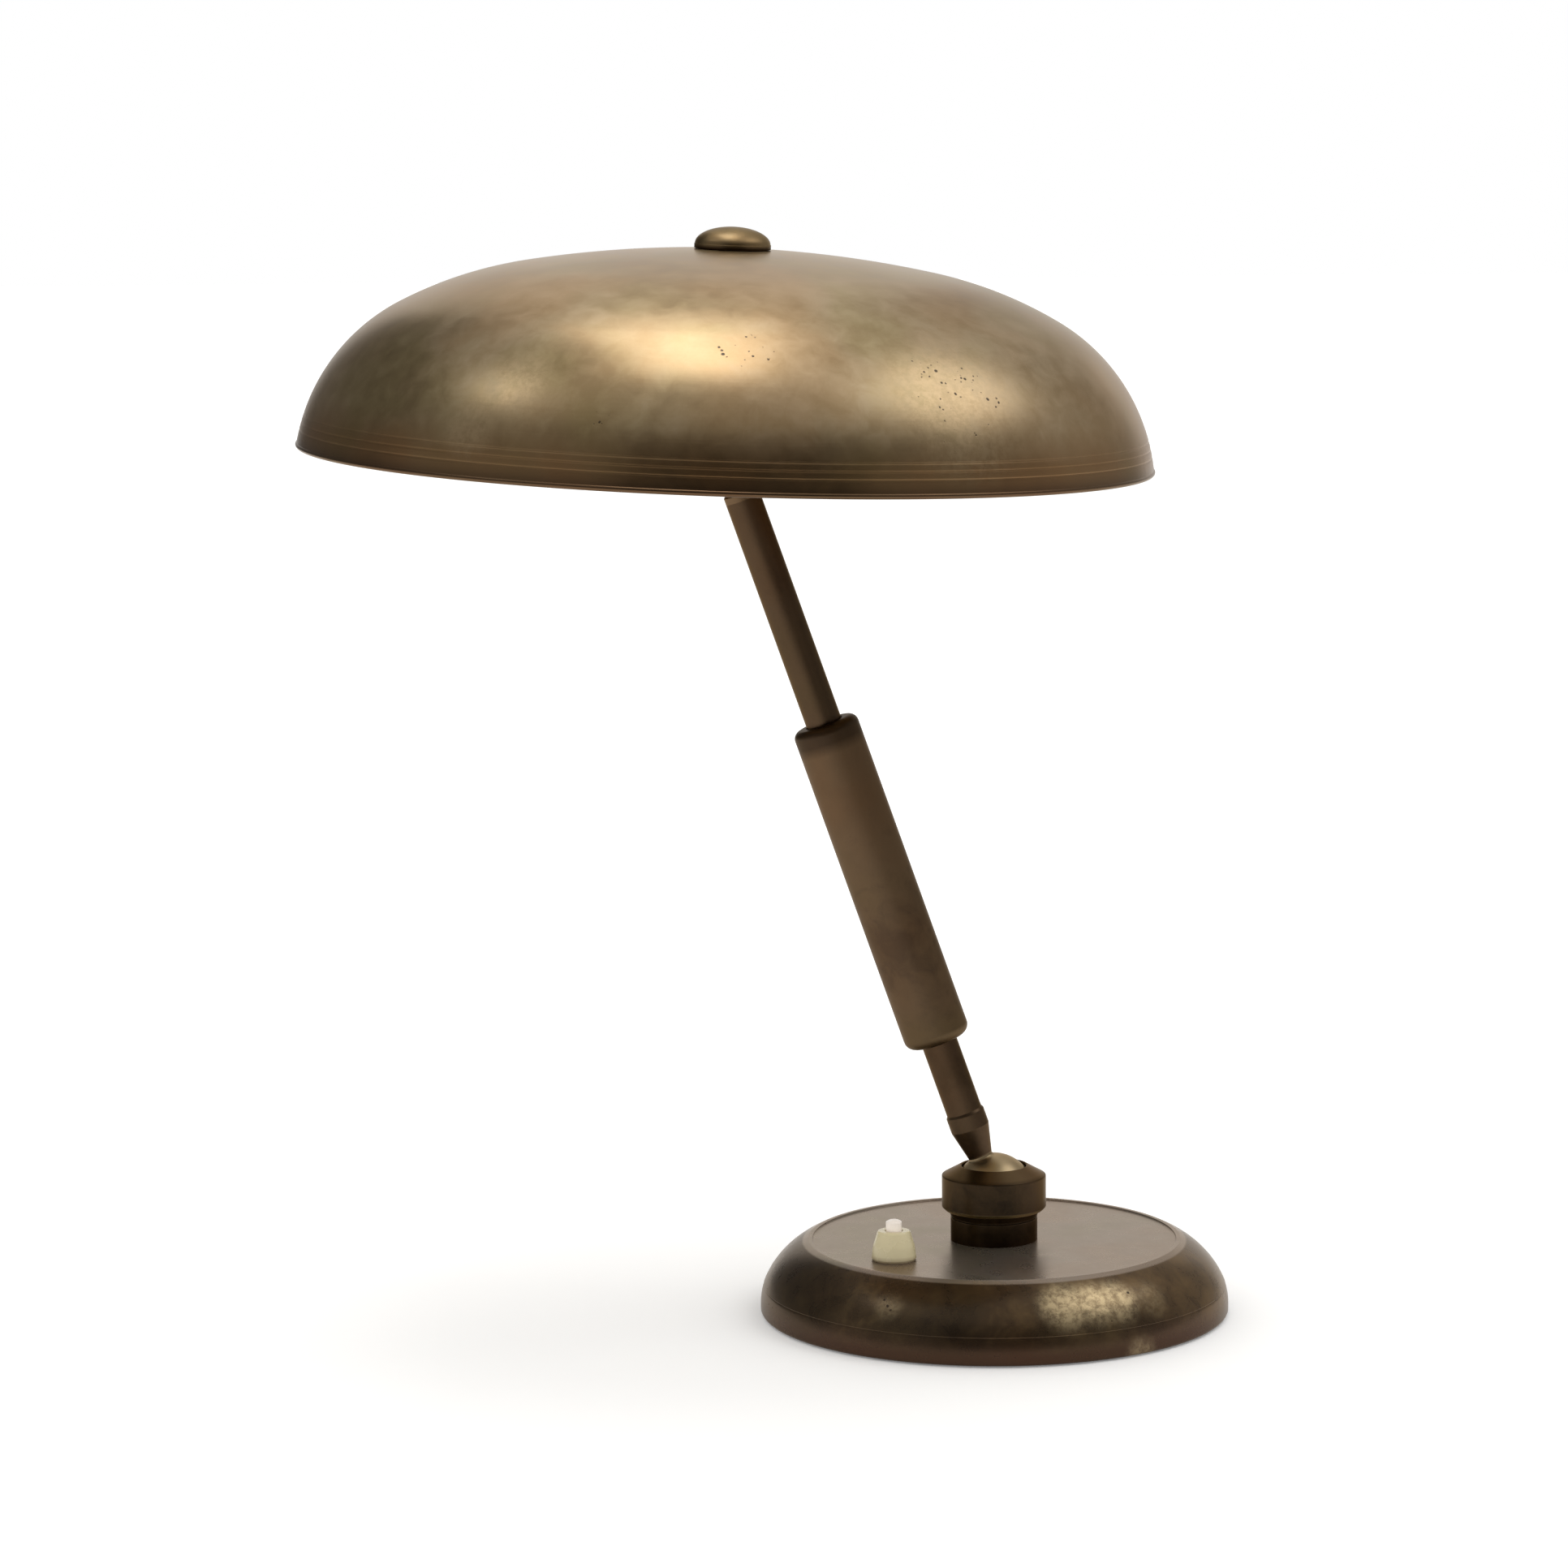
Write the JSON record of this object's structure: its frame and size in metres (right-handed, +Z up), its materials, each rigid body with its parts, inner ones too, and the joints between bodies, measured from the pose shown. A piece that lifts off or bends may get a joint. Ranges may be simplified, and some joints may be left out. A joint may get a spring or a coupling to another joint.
{
  "type": "desk lamp",
  "caption": "Brass desk lamp with a spun dome shade, a leaning telescopic arm on ball joints and a weighted round base with a push switch.",
  "frame": {"origin": "centre of the round base, on the surface that the lamp stands on", "axes": "+Z up; the arm leans towards -X; the switch is at the front left, -X and -Y; the cord inlet is at the back, +Y"},
  "size_m": [0.3587, 0.33, 0.4254],
  "materials": {
    "patina_brass": "satin",
    "dark_brass": "satin",
    "bare_brass": "machined",
    "steel": "zinc plated",
    "cast_iron": "as cast",
    "bakelite": "moulded",
    "cream_plastic": "moulded",
    "felt": "pressed felt",
    "flex": "woven sleeve over rubber",
    "bulb_cap": "rolled",
    "bulb_glass": "opal"
  },
  "bodies": {
    "base": {"base_shell": "patina_brass", "base_weight": "cast_iron", "base_plate": "steel", "base_felt": "felt", "plate_screws": "steel", "cord_bush": "bakelite", "pedestal": "dark_brass", "pedestal_washer": "steel", "pedestal_nut": "steel", "cup_spring": "steel", "ball_cap": "dark_brass", "switch_nut": "cream_plastic", "switch_tube": "bare_brass", "switch_lock_nut": "bare_brass", "switch_body": "bakelite", "switch_terminals": "bare_brass", "switch_spring": "steel", "base_flex": "flex"},
    "switch_button": {"switch_button": "cream_plastic"},
    "friction_cup": {"friction_cup": "bare_brass"},
    "arm": {"ball_stem": "patina_brass", "lower_rod": "dark_brass", "sleeve_plug": "bare_brass", "sleeve": "patina_brass", "sleeve_guide": "bare_brass"},
    "slide_ring": {"slide_ring": "bare_brass"},
    "upper_arm": {"rod_shoulder": "steel", "rod_end_nut": "steel", "upper_rod": "dark_brass", "top_ball": "patina_brass"},
    "top_cup": {"top_cup": "bare_brass"},
    "shade": {"top_spring": "steel", "retaining_ring": "dark_brass", "hub": "dark_brass", "hub_lid": "dark_brass", "shade_stud": "bare_brass", "holder_nipples": "bare_brass", "lampholder_front": "bakelite", "lampholder_back": "bakelite", "screw_shell_front": "bare_brass", "screw_shell_back": "bare_brass", "bulb_cap_front": "bulb_cap", "bulb_cap_back": "bulb_cap", "bulb_glass_front": "bulb_glass", "bulb_glass_back": "bulb_glass", "shade_nut": "bare_brass", "shade_washer": "bare_brass", "shade": "patina_brass", "top_knob": "patina_brass"}
  },
  "joints": [
    {"name": "base_swivel", "type": "hinge", "parent": "base", "child": "friction_cup", "pos_m": [0, 0, 0.0471], "axis": [0, 0, 1], "range_deg": [-170, 170]},
    {"name": "arm_tilt", "type": "hinge", "parent": "friction_cup", "child": "arm", "pos_m": [0, 0, 0.0471], "axis": [0, -1, 0], "range_deg": [-47.25, 8.75]},
    {"name": "arm_extend", "type": "slide", "parent": "arm", "child": "slide_ring", "axis": [-0.3297, 0, 0.9441], "range_m": [-0.045, 0.035]},
    {"name": "rod_turn", "type": "hinge", "parent": "slide_ring", "child": "upper_arm", "pos_m": [-0.10211, 0, 0.33948], "axis": [-0.3297, 0, 0.9441], "range_deg": [-170, 170]},
    {"name": "shade_tilt", "type": "hinge", "parent": "upper_arm", "child": "top_cup", "pos_m": [-0.10211, 0, 0.33948], "axis": [0, 1, 0], "range_deg": [-53.71, 10.29]},
    {"name": "shade_spin", "type": "hinge", "parent": "top_cup", "child": "shade", "pos_m": [-0.10211, 0, 0.33948], "axis": [0.0429, 0, 0.9991], "range_deg": [-170, 170]},
    {"name": "switch_press", "type": "slide", "parent": "base", "child": "switch_button", "axis": [0, 0, -1], "range_m": [0, 0.0025], "stiffness_N_per_m": 900, "springref_m": -0.001, "deforming": ["switch_spring"]}
  ]
}
